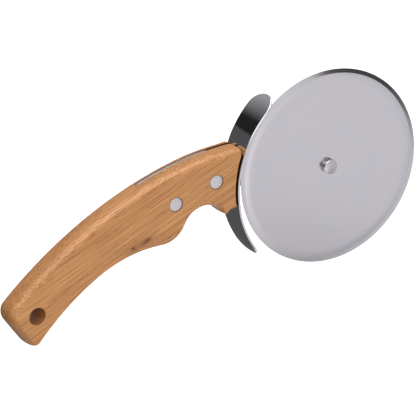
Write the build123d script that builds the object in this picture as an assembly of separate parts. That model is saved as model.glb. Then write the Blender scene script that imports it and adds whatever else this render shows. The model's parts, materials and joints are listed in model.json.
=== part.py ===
"""Rotary pizza cutter: a free-turning steel wheel on a flat tang, a curved
finger guard and a one-piece bamboo handle closed on the tang by two rivets.

The wheel's centre is the working origin: +X runs from the handle to the wheel,
+Y is the back of the handle and +Z is the wheel's axle, out of the front side.
At the end every piece moves by one shift, so that the model lies on its back
side with its origin under the middle of its box.
"""
import os
from math import cos, degrees, radians, sin

from build123d import *

# Sizes, in millimetres. Angles are in degrees.

# Cutting wheel: a flat disc, ground to a cutting edge from both sides.
wheel_diameter = 100.0
wheel_thickness = 1.0
bevel_width = 2.0
edge_land = 0.12

# Axle rivet: head, washer, wheel, spacer and tang stand in this order on it.
shoulder_diameter = 5.0
neck_diameter = 4.0
head_diameter = 7.4
head_height = 2.4
head_rounding = 0.45
tail_diameter = 6.4
tail_height = 1.0
tail_bevel = 0.4
washer_diameter = 7.8
washer_thickness = 0.8
spacer_diameter = 11.0
spacer_thickness = 0.8
running_gap = 0.05
end_play = 0.1
rivet_fit = 0.02

# Tang: one flat plate from inside the handle to behind the wheel.
tang_thickness = 1.6
arm_width = 16.0
inlay_reach = 52.9
inlay_top_height = -0.7
inlay_crown = 1.8
shoulder_reach = 7.0
shoulder_height = 13.5
shoulder_run = 3.0
inlay_margin = 6.5
inlay_corner = 5.0

# Guard: a steel strip bent about the wheel's centre, round at both ends.
guard_rim_gap = 5.0
guard_thickness = 1.0
guard_width = 16.0
guard_spread = 93.8
guard_lean = 1.4
guard_edge_bevel = 0.2
guard_slot_gap = 0.15

# Handle: bamboo, sawn to its outline and rounded along its edges.
handle_thickness = 15.0
handle_length = 125.0
handle_drop = 80.0
handle_back_height = 16.35
handle_rounding = 3.0
handle_end_break = 1.2
handle_seat_gap = 0.05
butt_back_radius = 6.5
butt_belly_radius = 3.8
notch_radius = 12.4
notch_setback = 15.5
notch_depth_below_axle = 25.0
hump_radius = 14.3
chin_angle = 30.0
chin_setback = 2.4
chin_depth_below_axle = 15.8
slot_side_gap = 0.2
slot_end_gap = 0.4

# Hanging hole near the handle's end.
hang_hole_diameter = 9.0
hang_hole_bevel = 0.5

# Handle rivets: two-part compression rivets, a tube half and a pin half.
rivet_head_diameter = 7.0
rivet_head_thickness = 1.5
rivet_head_bevel = 0.15
rivet_recess = 0.2
rivet_seat_gap = 0.08
rivet_tube_diameter = 4.6
rivet_pin_diameter = 3.0
rivet_tube_gap = 0.1
rivet_end_gap = 0.5
front_rivet_setback = 12.6
front_rivet_drop = 0.2
rear_rivet_setback = 34.7
rear_rivet_drop = 9.8

# One overrun serves every cut that has to pass right through.
overrun = 5.0

# Heights and radii that follow from the sizes.
wheel_radius = wheel_diameter / 2
guard_inner_radius = wheel_radius + guard_rim_gap
guard_outer_radius = guard_inner_radius + guard_thickness
seat_radius = guard_outer_radius + handle_seat_gap
handle_half = handle_thickness / 2
wheel_front_z = wheel_thickness / 2
washer_back_z = wheel_front_z + end_play
head_back_z = washer_back_z + washer_thickness
spacer_front_z = -wheel_front_z - end_play
tang_front_z = spacer_front_z - spacer_thickness
tang_back_z = tang_front_z - tang_thickness
tang_mid_z = (tang_front_z + tang_back_z) / 2
bore_radius = shoulder_diameter / 2 + running_gap
tang_hole_radius = neck_diameter / 2 + rivet_fit
rivet_bore = rivet_tube_diameter / 2 + rivet_tube_gap

front_rivet = Vector(-guard_outer_radius - front_rivet_setback, -front_rivet_drop)
rear_rivet = Vector(-guard_outer_radius - rear_rivet_setback, -rear_rivet_drop)

# Outline stations of the handle: how far behind the guard, as a share of the
# handle's length, and how far below the top of its front end, as a share of
# the whole drop.
back_shares = [(-0.04, 0.0), (0.219, 0.071), (0.484, 0.227), (0.742, 0.4605), (0.994, 0.794)]
butt_belly_share = (0.853, 0.9865)
belly_rear_shares = [(0.735, 0.7925), (0.595, 0.6305)]
hang_hole_share = (0.8656, 0.7976)
outline_height = handle_drop + handle_back_height

# The belly's front end, beside the notch's centre, as shares of the notch's radius.
belly_front_share = (-0.347, -0.58)


def station(share):
    """Point of the handle's outline at a share of its length and of its drop."""
    along, down = share
    x = -guard_outer_radius - along * handle_length
    return Vector(x, handle_back_height - down * outline_height)


hang_hole = station(hang_hole_share)


def disc(radius, z_low, z_high, centre=Vector(0, 0)):
    """Upright cylinder between two heights."""
    foot = Pos(centre.X, centre.Y, z_low)
    return foot * Cylinder(radius, z_high - z_low, align=(Align.CENTER, Align.CENTER, Align.MIN))


def slab(face, z_low, z_high):
    """Flat face in the XY plane, made solid between two heights."""
    return Pos(0, 0, z_low) * extrude(face, z_high - z_low, dir=(0, 0, 1))


def turned(points, angle=360.0):
    """Solid turned about the Z axis from its (radius, height) corners."""
    profile = make_face(Polyline(*[(r, 0, z) for r, z in points], close=True))
    return revolve(profile, Axis.Z, angle)


def handle_outline():
    """Side view of the handle, with its finger notch and its concave end."""
    back = Spline(*[station(s) for s in back_shares])
    butt = Line(back @ 1, station(butt_belly_share))
    belly_rear = ThreePointArc(butt @ 1, *[station(s) for s in belly_rear_shares])
    notch = Vector(-guard_outer_radius - notch_setback, -notch_depth_below_axle)
    belly_end = notch + Vector(*belly_front_share) * notch_radius
    belly_front = TangentArc(belly_rear @ 1, belly_end, tangent=belly_rear % 1)
    chin = Vector(-guard_outer_radius - chin_setback, -chin_depth_below_axle)
    run = Vector(cos(radians(chin_angle)), sin(radians(chin_angle)))
    chin_rear = chin + run * (notch - chin).dot(run)
    chin_front = chin + run * notch_radius
    under = Polyline(belly_end, chin_rear, chin_front, back @ 0)
    face = make_face([back, butt, belly_rear, belly_front, under])
    face -= Pos(notch) * Circle(notch_radius)
    face -= Circle(seat_radius)
    hump = face.vertices().sort_by_distance(belly_end)[0]
    face = fillet(hump, hump_radius)
    face = fillet(face.vertices().sort_by(Axis.X)[0], butt_back_radius)
    face = fillet(face.vertices().sort_by(Axis.Y)[0], butt_belly_radius)
    return face


# Corners of the part of the tang that lies in the handle.
inlay_top = Vector(-guard_outer_radius - inlay_reach, inlay_top_height)
shoulder_top = Vector(-guard_outer_radius - shoulder_reach, shoulder_height)
shoulder_foot = Vector(shoulder_top.X + shoulder_run, arm_width / 2)
rivet_line = (front_rivet - rear_rivet).normalized()
inlay_low = rear_rivet + Vector(rivet_line.Y, -rivet_line.X) * inlay_margin - rivet_line * inlay_margin


def slot_outline(margin):
    """Side view of the slot, open at the handle's back and at its front end."""
    above = inlay_top + (inlay_top - inlay_low).normalized() * overrun
    out = -guard_inner_radius
    top = shoulder_height + overrun
    low = -arm_width / 2
    corners = Polyline(above, (out, top), (out, low), (front_rivet.X, low), inlay_low, close=True)
    face = make_face(corners)
    face = fillet(face.vertices().sort_by_distance(inlay_low)[0], inlay_corner)
    return offset(face, margin, kind=Kind.INTERSECTION) if margin else face


def tang_outline():
    """Side view of the tang: an arm to the axle, and an inlay in the handle.

    The inlay's upper edge starts flush with the handle's back and sinks below
    it towards the guard, so it is trimmed by the same outline as the handle.
    """
    crown = SagittaArc(inlay_top, shoulder_top, inlay_crown)
    deep = -handle_drop
    sides = Polyline(shoulder_top, shoulder_foot, (shoulder_foot.X, deep), (inlay_top.X, deep), inlay_top)
    inlay = make_face([crown, sides]) & slot_outline(0) & handle_outline()
    arm = Pos(shoulder_foot.X / 2, 0) * Rectangle(-shoulder_foot.X, arm_width) + Circle(arm_width / 2)
    return inlay + arm


def build_wheel():
    """Flat disc with a bevel on both sides and a bore for the axle rivet."""
    flat = wheel_radius - bevel_width
    face_z = wheel_thickness / 2
    edge_z = edge_land / 2
    half = [(wheel_radius, edge_z), (flat, face_z), (bore_radius, face_z)]
    other_half = [(radius, -z) for radius, z in reversed(half)]
    return turned(half + other_half)


def build_axle_rivet():
    """Headed pin: its shoulder carries the wheel, its neck is closed on the tang."""
    head = disc(head_diameter / 2, head_back_z, head_back_z + head_height)
    head = fillet(head.edges().group_by(Axis.Z)[-1], head_rounding)
    tail = disc(tail_diameter / 2, tang_back_z - tail_height, tang_back_z)
    tail = chamfer(tail.edges().group_by(Axis.Z)[0], tail_bevel)
    shoulder = disc(shoulder_diameter / 2, tang_front_z, head_back_z)
    neck = disc(neck_diameter / 2, tang_back_z, tang_front_z)
    return head + shoulder + neck + tail


def build_washer(diameter, z_low, thickness):
    """Plain washer that fits the rivet's shoulder."""
    ring = disc(diameter / 2, z_low, z_low + thickness)
    return ring - disc(bore_radius, z_low - overrun, z_low + thickness + overrun)


def build_tang():
    """Flat plate with a hole for the axle rivet and one for each handle rivet."""
    plate = slab(tang_outline(), tang_back_z, tang_front_z)
    low, high = tang_back_z - overrun, tang_front_z + overrun
    plate -= disc(tang_hole_radius, low, high)
    for centre in (front_rivet, rear_rivet):
        plate -= disc(rivet_bore, low, high, centre)
    return plate


def build_guard():
    """Strip on an arc about the axle, with full-round ends and a slot for the tang."""
    half_width = guard_width / 2
    round_angle = degrees(half_width / guard_outer_radius)
    section = [
        (guard_inner_radius, -half_width),
        (guard_outer_radius, -half_width),
        (guard_outer_radius, half_width),
        (guard_inner_radius, half_width),
    ]
    ring = turned(section)
    straight = guard_spread - 2 * round_angle
    first = 180 + guard_lean - straight / 2
    strip = Rot(0, 0, first) * turned(section, straight)
    for angle in (first, first + straight):
        peg = Cylinder(half_width, 2 * guard_outer_radius, align=(Align.CENTER, Align.CENTER, Align.MIN))
        strip += ring & (Rot(0, 0, angle) * Rot(0, 90, 0) * peg)
    strip = chamfer(strip.edges(), guard_edge_bevel)
    height = tang_thickness + 2 * guard_slot_gap
    slot = Box(2 * overrun, arm_width + 2 * guard_slot_gap, height)
    return strip - Pos(-guard_outer_radius, 0, tang_mid_z) * slot


def build_handle():
    """Bamboo body: rounded along both sides, slotted for the tang and drilled."""
    body = slab(handle_outline(), -handle_half, handle_half)
    rims = body.edges().group_by(Axis.Z)
    at_guard = body.faces().sort_by_distance((-seat_radius, 0, 0))[0]
    ends = at_guard.edges()
    body = fillet([e for e in rims[0] + rims[-1] if e not in ends], handle_rounding)
    at_guard = body.faces().sort_by_distance((-seat_radius, 0, 0))[0]
    body = fillet(at_guard.edges(), handle_end_break)

    low, high = -handle_half - overrun, handle_half + overrun
    body -= disc(hang_hole_diameter / 2, low, high, hang_hole)
    mouths = body.edges().filter_by(GeomType.CIRCLE).sort_by_distance(hang_hole)[:2]
    body = chamfer(mouths, hang_hole_bevel)

    slot_half = tang_thickness / 2 + slot_side_gap
    body -= slab(slot_outline(slot_end_gap), tang_mid_z - slot_half, tang_mid_z + slot_half)
    head_seat = rivet_head_diameter / 2 + rivet_seat_gap
    floor_z = handle_half - rivet_recess - rivet_head_thickness
    for centre in (front_rivet, rear_rivet):
        body -= disc(rivet_bore, low, high, centre)
        body -= disc(head_seat, floor_z, high, centre)
        body -= disc(head_seat, low, -floor_z, centre)
    return body


def build_rivet_tube(centre):
    """Front half of a handle rivet: a flat head on a tube, blind towards the head."""
    head_top = handle_half - rivet_recess
    head_low = head_top - rivet_head_thickness
    tube_end = -head_low + rivet_end_gap
    head = disc(rivet_head_diameter / 2, head_low, head_top, centre)
    head = chamfer(head.edges().group_by(Axis.Z)[-1], rivet_head_bevel)
    tube = disc(rivet_tube_diameter / 2, tube_end, head_low, centre)
    return head + tube - disc(rivet_pin_diameter / 2 + rivet_fit, tube_end - overrun, head_low, centre)


def build_rivet_pin(centre):
    """Back half of a handle rivet: a flat head on a pin that fills the tube."""
    head_low = rivet_recess - handle_half
    head_top = head_low + rivet_head_thickness
    head = disc(rivet_head_diameter / 2, head_low, head_top, centre)
    head = chamfer(head.edges().group_by(Axis.Z)[0], rivet_head_bevel)
    return head + disc(rivet_pin_diameter / 2, head_top, -head_top - rivet_end_gap, centre)


pieces = {
    "cutting_wheel": build_wheel(),
    "axle_rivet": build_axle_rivet(),
    "head_washer": build_washer(washer_diameter, washer_back_z, washer_thickness),
    "spacer_washer": build_washer(spacer_diameter, tang_front_z, spacer_thickness),
    "tang": build_tang(),
    "finger_guard": build_guard(),
    "handle": build_handle(),
    "front_rivet_tube": build_rivet_tube(front_rivet),
    "front_rivet_pin": build_rivet_pin(front_rivet),
    "rear_rivet_tube": build_rivet_tube(rear_rivet),
    "rear_rivet_pin": build_rivet_pin(rear_rivet),
}

# The origin goes under the middle of the box of the whole cutter.
box = Compound(list(pieces.values())).bounding_box()
shift = Pos(-(box.min.X + box.max.X) / 2, -(box.min.Y + box.max.Y) / 2, -box.min.Z)
os.makedirs("parts", exist_ok=True)
for name, piece in pieces.items():
    export_step(shift * piece, f"parts/{name}.step")

centre = shift.position
print("axle at", tuple(round(value, 3) for value in centre))
print("hanging hole at", tuple(round(value, 3) for value in centre + hang_hole))
print("size", tuple(round(value, 3) for value in box.size))
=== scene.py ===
# %% [markdown]
# # A rotary pizza cutter
#
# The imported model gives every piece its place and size. This lesson dresses it:
# each visible piece is made again as a smooth surface with the small roundings
# of the real one, and gets a material named for what it is made of.
# Everything is in metres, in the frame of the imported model.

# %% Load the model
import json
from math import atan, atan2, cos, pi, radians, sin, tau

import bpy
import bmesh
import numpy as np
from mathutils import Matrix, Vector


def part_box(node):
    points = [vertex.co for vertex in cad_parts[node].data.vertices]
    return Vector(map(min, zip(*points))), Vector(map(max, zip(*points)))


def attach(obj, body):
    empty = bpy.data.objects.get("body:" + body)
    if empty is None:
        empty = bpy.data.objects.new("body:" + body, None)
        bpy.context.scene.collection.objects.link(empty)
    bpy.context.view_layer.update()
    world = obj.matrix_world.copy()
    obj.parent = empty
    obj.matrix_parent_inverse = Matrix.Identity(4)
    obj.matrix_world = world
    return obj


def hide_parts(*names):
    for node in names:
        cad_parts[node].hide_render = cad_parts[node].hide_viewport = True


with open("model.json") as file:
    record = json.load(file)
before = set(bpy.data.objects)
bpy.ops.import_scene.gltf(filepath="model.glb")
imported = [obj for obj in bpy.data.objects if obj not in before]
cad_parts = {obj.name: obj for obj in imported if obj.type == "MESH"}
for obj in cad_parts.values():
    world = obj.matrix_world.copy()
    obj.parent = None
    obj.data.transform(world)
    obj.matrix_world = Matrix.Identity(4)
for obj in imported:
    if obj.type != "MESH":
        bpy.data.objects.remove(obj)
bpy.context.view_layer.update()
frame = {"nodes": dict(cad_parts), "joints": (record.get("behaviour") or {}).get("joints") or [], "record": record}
mm = 0.001
smallest_weld, smallest_edge = 0.002 * mm, 0.001 * mm
axle = np.array(frame["joints"][0]["pos_m"])
print("axle at", (axle / mm).round(2), "mm")

# %% [markdown]
# ## Small tools
#
# A grid of points becomes a mesh in one step, because the faces of a grid
# follow from its row and column numbers. A closed direction joins its last
# line of points to its first. Edges sharper than a given angle keep a crease.


# %% Grids
def grid_faces(rows, columns, closed_rows, closed_columns):
    """Corner numbers of the quads of a grid, row by row."""
    i = np.arange(rows if closed_rows else rows - 1)[:, None]
    j = np.arange(columns if closed_columns else columns - 1)[None, :]
    below, right = (i + 1) % rows, (j + 1) % columns
    quads = np.stack([i * columns + j, below * columns + j, below * columns + right, i * columns + right], -1)
    return quads.reshape(-1, 4)


def make_piece(name, points, faces, crease=30.0):
    """Object from points and faces, its doubles merged, its faces outwards, smooth but for creases."""
    mesh = bpy.data.meshes.new(name)
    mesh.from_pydata(np.asarray(points).reshape(-1, 3).tolist(), [], [list(map(int, f)) for f in faces])
    shape = bmesh.new()
    shape.from_mesh(mesh)
    bmesh.ops.remove_doubles(shape, verts=shape.verts, dist=smallest_weld)
    bmesh.ops.dissolve_degenerate(shape, edges=shape.edges, dist=smallest_edge)
    bmesh.ops.triangulate(shape, faces=[face for face in shape.faces if len(face.verts) > 4])
    bmesh.ops.recalc_face_normals(shape, faces=shape.faces)
    shape.to_mesh(mesh)
    shape.free()
    mesh.shade_smooth()
    mesh.set_sharp_from_angle(angle=radians(crease))
    piece = bpy.data.objects.new(name, mesh)
    bpy.context.scene.collection.objects.link(piece)
    print(name, len(mesh.polygons), "faces")
    return piece


# %% [markdown]
# Wheel, rivets, washers and drills are all turned: a profile of radius and
# height, with its corners eased, goes round an upright axis as on a lathe.


# %% Turned forms
def rounded(corners, radii, steps=6):
    """Profile with each corner eased by a quadratic curve that starts and ends radius away from it."""
    corners = np.array(corners, float)
    pieces = []
    share = np.linspace(0, 1, steps)[:, None]
    for k, radius in enumerate(radii):
        corner = corners[k]
        if radius == 0:
            pieces.append(corner[None])
            continue
        to_last, to_next = corners[k - 1] - corner, corners[(k + 1) % len(corners)] - corner
        start = corner + to_last * radius / np.linalg.norm(to_last)
        end = corner + to_next * radius / np.linalg.norm(to_next)
        pieces.append((1 - share) ** 2 * start + 2 * share * (1 - share) * corner + share**2 * end)
    return np.concatenate(pieces)


def turned(name, profile, centre, closed, count=180, crease=30.0):
    """Turn a (radius, height) profile in mm about Z: x = r cos a, y = r sin a, z = h, for count angles a."""
    r, h = np.array(profile).T * mm
    a = np.linspace(0, tau, count, endpoint=False)[:, None]
    points = np.stack([r * np.cos(a), r * np.sin(a), h + 0 * a], -1) + centre
    return make_piece(name, points, grid_faces(count, len(r), True, closed), crease)


# %% [markdown]
# ## Cutters
#
# Holes and slots are cut as a workshop cuts them: a cutter is made with the
# shape of the removed piece, and a Boolean takes it away. The cut is applied
# at once, so that no modifier is left on the piece.


# %% Cutters
def prism(name, corners, low, high):
    """Upright prism over a plan outline, in mm from the axle."""
    count = len(corners)
    points = np.array([(x, y, z) for z in (low, high) for x, y in corners]) * mm + axle
    k = np.arange(count)
    sides = np.stack([k, (k + 1) % count, (k + 1) % count + count, k + count], -1).tolist()
    return make_piece(name, points, [*sides, list(range(count))[::-1], list(range(count, 2 * count))])


def carve(piece, cutters, crease=35.0):
    """Cut the cutters out of a piece, apply the cuts and remove the cutters."""
    for cutter in cutters:
        change = piece.modifiers.new(cutter.name, "BOOLEAN")
        change.object, change.operation, change.solver = cutter, "DIFFERENCE", "EXACT"
    bpy.context.view_layer.update()
    made = bpy.data.meshes.new_from_object(piece.evaluated_get(bpy.context.evaluated_depsgraph_get()))
    piece.modifiers.clear()
    piece.data = made
    made.shade_smooth()
    made.set_sharp_from_angle(angle=radians(crease))
    for cutter in cutters:
        bpy.data.objects.remove(cutter)
    print(piece.name, "carved,", len(made.polygons), "faces")


# %% [markdown]
# ## Cutting wheel
#
# The wheel is a 1 mm stainless disc, ground to an edge from both sides. It is a
# profile turned about the axle. The flat runs out in a faint roll before the
# bevel, as polishing leaves it, and that roll is what catches the light as a
# thin ring along the left side.

# %% Cutting wheel
low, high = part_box("cutting_wheel")
wheel_radius = (high.x - low.x) / 2 / mm
wheel_half = (high.z - low.z) / 2 / mm
wheel_bore, bore_break = 2.55, 0.15
bevel_width = 2.1
edge_half = 0.01
roll_width, roll_drop = 4.0, 0.14
first_ring, last_ring = 6.0, 42.0

flat_end = wheel_radius - bevel_width
roll = np.linspace(0, 1, 9)
face = np.stack([flat_end - roll_width + roll_width * roll, wheel_half - roll_drop * roll**2], -1)
upper = np.concatenate([
    [[wheel_bore, wheel_half - bore_break], [wheel_bore + bore_break, wheel_half]],
    np.stack([np.linspace(first_ring, last_ring, 12), np.full(12, wheel_half)], -1),
    face,
    [[wheel_radius, edge_half]],
])
lower = upper[::-1] * (1, -1)
wheel = turned("wheel_disc", np.concatenate([upper, lower]), axle, True, 480, crease=3.0)
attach(wheel, "wheel")
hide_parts("cutting_wheel")
print("wheel radius", round(wheel_radius, 2), "mm")

# %% [markdown]
# ## Axle rivet and washers
#
# The rivet's head is a polished button with an eased rim. Its far end is closed
# over the tang as a low dome. A washer under the head and a spacer behind the
# wheel keep the disc from rubbing. In the photograph the head stands a little
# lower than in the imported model, and its washer is only a dark step beneath it.


# %% Axle rivet
def node_heights(node):
    """Lowest and highest point of a node above the wheel's middle plane, in mm."""
    low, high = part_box(node)
    return (low.z - axle[2]) / mm, (high.z - axle[2]) / mm


def node_radius(node):
    """Half of a round node's width, in mm."""
    low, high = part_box(node)
    return (high.x - low.x) / 2 / mm


head_radius = node_radius("axle_rivet")
tail_bottom, head_top = node_heights("axle_rivet")
washer_low, washer_high = node_heights("head_washer")
spacer_low, spacer_high = node_heights("spacer_washer")
tang_low, tang_high = node_heights("tang")
head_lower = 0.6
head_top -= head_lower
shoulder_radius, tail_radius = 2.5, 3.2
tail_height, head_crown = 0.75, 0.05
foot_ease, rim_ease = 0.12, 0.28
dome = np.linspace(0, 1, 6)[:, None]
tail_dome = np.hstack([tail_radius * np.sin(dome * pi / 2), tail_bottom + tail_height * (1 - np.cos(dome * pi / 2))])
head = rounded(
    [(shoulder_radius, washer_high), (head_radius, washer_high), (head_radius, head_top), (0, head_top + head_crown)],
    [0, foot_ease, rim_ease, 0],
)
rivet_profile = np.concatenate([tail_dome, [(tail_radius, tang_low), (shoulder_radius, tang_low)], head])
axle_rivet = turned("axle_pin", rivet_profile, axle, False, 96)
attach(axle_rivet, "holder")
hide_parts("axle_rivet")

# %% [markdown]
# The washers are punched from plate, and a punch leaves the rims a little eased.

# %% Washers
washer_ease = 0.12
head_overhang = 0.4


def washer(name, node, outer, low, high):
    """Flat ring with eased rims, turned about the axle."""
    corners = [(shoulder_radius, low), (outer, low), (outer, high), (shoulder_radius, high)]
    piece = turned(name, rounded(corners, [0, washer_ease, washer_ease, 0], 4), axle, True, 96)
    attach(piece, "holder")
    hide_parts(node)
    return piece


front_washer = washer("washer_front", "head_washer", head_radius - head_overhang, washer_low, washer_high)
back_washer = washer("washer_back", "spacer_washer", node_radius("spacer_washer"), spacer_low, spacer_high)

# %% [markdown]
# ## Finger guard
#
# A polished strip is bent on an arc nearly about the axle, with round ends. Its
# flat pattern is a stadium. One parameter goes round the stadium, the other
# from its middle line over the rolled edge and back along the inner face.

# %% Finger guard
guard_inner, guard_outer = 55.0, 56.0
guard_centre = np.array([-0.59, -0.54])
guard_spread, guard_lean = 92.4, -0.4
guard_crowding = 1.6
guard_half_width = 8.45
crown, crown_from, crown_ramp = 0.3, 10.0, 10.0
edge_roll, edge_depth = 0.55, 0.09
lip_width = 0.25
set_back, set_back_from, set_back_ramp = 0.25, 14.0, 6.0
blunt_power = 3.0
wing_widening, wing_closing = 0.047, 0.25

print("flat strip", round(radians(guard_spread) * guard_outer, 1), "by", 2 * guard_half_width, "mm")

# %% [markdown]
# Each point is found on the flat strip first, as a place along it and a place
# across it. Then its distance from the arc's centre is worked out, and the
# length along the strip becomes an angle, which bends it.


# %% Surface of the guard
def guard_surface(around, across):
    """Point of the strip: a stadium's rim drawn inwards by a distance, then bent on an arc.

    The rim runs along the long side, round an end of half_width radius, and back.
    The lower end is a blunter superellipse. Both wings are crowned: the strip
    stands out by crown at its middle line, less the square of the way across it.
    Between the wings the strip is set back a little from the wood.
    Across goes from -1, the middle of the outer face, through 0, the rim, to 1.
    """
    reach = radians(guard_spread / 2) * guard_outer - guard_half_width
    side, end = 2 * reach, pi * guard_half_width
    place = around * 2 * (side + end)
    lap = place % (side + end)
    flip = np.where(place < side + end, 1.0, -1.0)
    angle = np.clip((lap - side) / guard_half_width, 0, pi)
    inset = guard_half_width * np.abs(across) ** guard_crowding
    core = np.where(lap < side, lap - reach, reach)
    power = np.where(flip > 0, 2 / blunt_power, 1.0)
    along = flip * (core + (guard_half_width - inset) * np.abs(np.sin(angle)) ** power)
    wide = flip * (guard_half_width - inset) * np.sign(np.cos(angle)) * np.abs(np.cos(angle)) ** power
    half = (guard_outer - guard_inner) / 2
    roll_off = np.clip(1 - inset / edge_roll, 0, 1) ** 2 * edge_depth
    lip = np.clip(1 - inset / lip_width, 0, 1) ** 2 * (half - edge_depth)
    radius = (guard_outer + guard_inner) / 2 - np.sign(across) * (half - roll_off - lip)
    on_wing = np.clip((np.abs(along) - crown_from) / crown_ramp, 0, 1)
    radius = radius + crown * on_wing * (1 - (wide / guard_half_width) ** 2)
    radius = radius - set_back * (1 - np.clip((np.abs(along) - set_back_from) / set_back_ramp, 0, 1))
    upper_wing = np.clip(-along / reach, 0, 1)
    radius = radius - wing_closing * upper_wing
    wide = wide * (1 + wing_widening * upper_wing)
    turn = pi + radians(guard_lean) + along / guard_outer
    x, y = guard_centre
    return np.stack([x + radius * np.cos(turn), y + radius * np.sin(turn), wide], -1) * mm + axle


# %% [markdown]
# The strip is dense round its rim, where the rolled edge is, and the tang's arm
# passes through a slot in its middle.

# %% Strip and its slot
around = np.linspace(0, 1, 720, endpoint=False)[:, None]
across = np.concatenate([-np.linspace(1, 0, 41), np.linspace(0, 1, 41)[1:]])[None, :]
guard = make_piece("guard_strip", guard_surface(around, across), grid_faces(720, 81, True, False), crease=40.0)
arm_half, arm_gap = 8.0, 0.15
cut_behind, cut_before = 2.0, 3.0
slot_edge = -arm_half - arm_gap
slot_corners = [(-guard_outer - cut_behind, slot_edge), (-guard_inner + cut_before, slot_edge)]
slot_corners += [(x, -y) for x, y in slot_corners[::-1]]
carve(guard, [prism("guard_slot", slot_corners, tang_low - arm_gap, tang_high + arm_gap)], crease=40.0)
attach(guard, "holder")
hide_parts("finger_guard")

# %% [markdown]
# ## Handle
#
# The handle is sawn from a bamboo board and sanded by hand, so its back and
# belly are crowned and its edges fade into the flat sides. Its outline is the
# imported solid's own, cut at one height. A profile, a superellipse, is carried
# along that outline. It draws in where the outline turns sharply and where the
# wood meets the guard.


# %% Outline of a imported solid
def outline_at(node, height):
    """Longest outline of a node cut at a height in mm above the wheel's middle: points in mm from the axle."""
    shape = bmesh.new()
    shape.from_mesh(frame["nodes"][node].data)
    bmesh.ops.remove_doubles(shape, verts=shape.verts, dist=smallest_edge)
    everything = shape.verts[:] + shape.edges[:] + shape.faces[:]
    level = (0, 0, axle[2] + height * mm)
    bmesh.ops.bisect_plane(
        shape, geom=everything, plane_co=level, plane_no=(0, 0, 1), clear_inner=True, clear_outer=True
    )
    mesh = bpy.data.meshes.new("cut")
    shape.to_mesh(mesh)
    shape.free()
    cut = bpy.data.objects.new("cut", mesh)
    bpy.context.scene.collection.objects.link(cut)
    bpy.ops.object.select_all(action="DESELECT")
    cut.select_set(True)
    bpy.context.view_layer.objects.active = cut
    bpy.ops.object.convert(target="CURVE")
    longest = max(cut.data.splines, key=lambda spline: len(spline.points))
    points = np.empty(len(longest.points) * 4)
    longest.points.foreach_get("co", points)
    bpy.data.objects.remove(cut)
    return (points.reshape(-1, 4)[:, :2] - axle[:2]) / mm


# %% [markdown]
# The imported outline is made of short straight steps. Points that turn it are
# kept, a smooth curve goes through them, and points are set evenly on that.


# %% Smooth closed lines
def turning(points):
    """Angle by which a closed line of points turns at each of them."""
    after = np.roll(points, -1, 0) - points
    before = np.roll(after, 1, 0)
    cross = before[:, 0] * after[:, 1] - before[:, 1] * after[:, 0]
    return np.arctan2(cross, (before * after).sum(1))


def smooth_loop(points, spacing):
    """Even points on a closed curve through the given ones.

    Each span is a Catmull-Rom cubic, whose knots lie apart by the square root of the distance.
    """
    p0, p1, p2, p3 = (np.roll(points, k, 0)[:, None] for k in (1, 0, -1, -2))
    step = [np.sqrt(np.linalg.norm(b - a, axis=-1, keepdims=True)) for a, b in ((p0, p1), (p1, p2), (p2, p3))]
    t1 = step[0]
    t2 = t1 + step[1]
    t3 = t2 + step[2]
    t = t1 + (t2 - t1) * np.linspace(0, 1, 16, endpoint=False)[None, :, None]
    a1 = p0 + (p1 - p0) * t / t1
    a2 = p1 + (p2 - p1) * (t - t1) / (t2 - t1)
    a3 = p2 + (p3 - p2) * (t - t2) / (t3 - t2)
    b1 = a1 + (a2 - a1) * t / t2
    b2 = a2 + (a3 - a2) * (t - t1) / (t3 - t1)
    fine = (b1 + (b2 - b1) * (t - t1) / (t2 - t1)).reshape(-1, 2)
    fine = np.vstack([fine, fine[:1]])
    run = np.concatenate([[0], np.cumsum(np.linalg.norm(np.diff(fine, axis=0), axis=1))])
    at = np.linspace(0, run[-1], round(run[-1] / spacing), endpoint=False)
    return np.stack([np.interp(at, run, fine[:, k]) for k in (0, 1)], -1)


def smoothed(values, reach):
    """Values round a closed line, averaged with a bell-shaped weight over reach points each way."""
    weight = np.hanning(2 * reach + 3)[1:-1]
    wrapped = np.concatenate([values[-reach:], values, values[:reach]])
    return np.convolve(wrapped, weight / weight.sum(), "valid")


# %% [markdown]
# The handle's outline is cut at a height where its sides are still upright.

# %% Outline of the handle
handle_half = 7.5
slice_height = 3.0
least_turn = 0.003
spacing = 0.5

raw = outline_at("handle", slice_height)
raw = raw[np.abs(turning(raw)) > least_turn]
outline = smooth_loop(raw, spacing)
if turning(outline).sum() < 0:
    outline = outline[::-1]
print("handle outline", len(raw), "corners,", len(outline), "points,", round(len(outline) * spacing), "mm round")

# %% [markdown]
# The front end is dished to follow the guard, with a thin seam between the wood
# and the steel: each point nearer to the guard's centre than that is pushed
# out to it. The upper front corner is eased far more than the lower one, so
# the outline is averaged over a longer reach there.

# %% Front end and corners of the handle
seam = 0.3
soft_reach, plain_reach = 12, 4
corner_reach, corner_full = 5.0, 1.5
end_margin = 1.0

to_guard = outline - guard_centre
distance = np.linalg.norm(to_guard, axis=1)
outline = guard_centre + to_guard * (np.maximum(distance, guard_outer + seam) / distance)[:, None]
front = outline[distance < guard_outer + end_margin]
upper_corner, lower_corner = front[np.argmax(front[:, 1])], front[np.argmin(front[:, 1])]
near_upper, near_lower = (
    np.clip(corner_full - np.linalg.norm(outline - corner, axis=1) / corner_reach, 0, 1)[:, None]
    for corner in (upper_corner, lower_corner)
)
soft, plain = (np.stack([smoothed(outline[:, k], reach) for k in (0, 1)], -1) for reach in (soft_reach, plain_reach))
outline = near_upper * soft + near_lower * outline + (1 - near_upper - near_lower) * plain
print("front corners", upper_corner.round(1), lower_corner.round(1))

# %% [markdown]
# How far the rounding reaches in is worked out for each point of the outline:
# not past most of the largest circle that fits inside there, and little at the
# guard. It may grow only slowly from one point to the next.

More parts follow.
